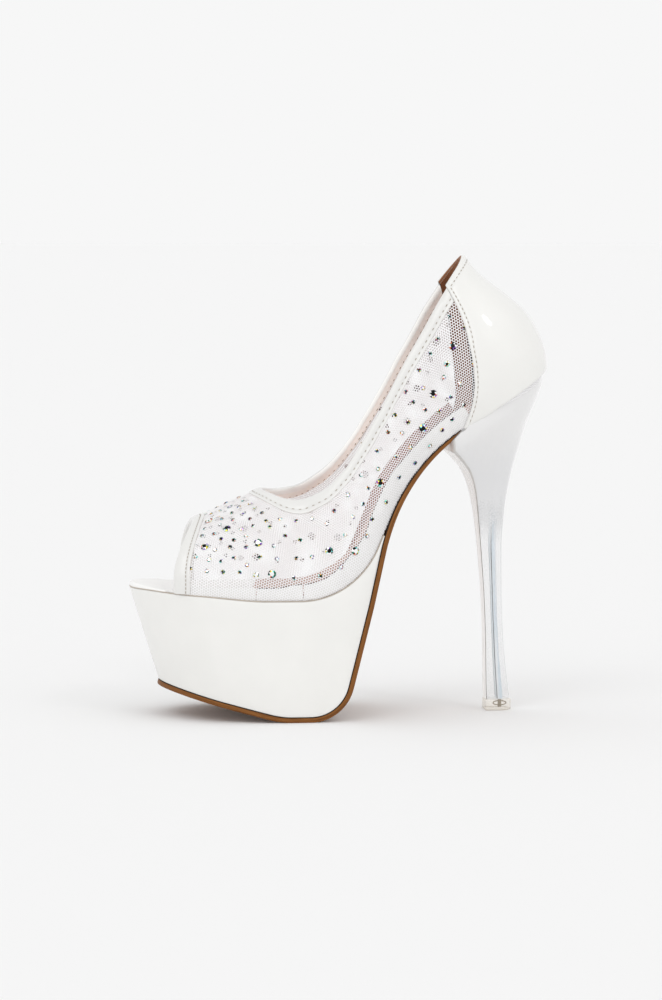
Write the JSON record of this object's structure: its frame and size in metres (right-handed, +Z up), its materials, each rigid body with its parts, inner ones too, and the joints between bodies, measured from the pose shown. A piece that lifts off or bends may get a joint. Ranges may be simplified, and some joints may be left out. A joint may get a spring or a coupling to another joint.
{
  "type": "platform heel",
  "caption": "Peep-toe platform pump with a sheer net upper, bound topline, wrapped counter, thick slanted platform, thin outsole and a slim clear stiletto heel, for the left foot.",
  "frame": {"origin": "on the floor under the middle of the shoe's box, with the forefoot tread and the heel tip both on z = 0", "axes": "+Z up; -X towards the toe; -Y towards the outer side of the left foot"},
  "size_m": [0.1995, 0.0825, 0.2188],
  "materials": {
    "tan_outsole": "satin, finely striated edge",
    "white_patent_platform": "patent gloss",
    "white_insole": "satin",
    "white_net": "sheer net with stones",
    "white_patent_counter": "patent gloss",
    "white_patent_topline": "patent gloss",
    "white_patent_toe": "patent gloss",
    "frosted_heel": "frosted above, clear below",
    "clear_tip": "clear"
  },
  "bodies": {
    "root": {"outsole": "tan_outsole", "platform": "white_patent_platform", "insole": "white_insole", "upper": "white_net", "counter": "white_patent_counter", "topline_binding": "white_patent_topline", "toe_binding": "white_patent_toe", "heel": "frosted_heel", "heel_tip": "clear_tip"}
  },
  "joints": []
}
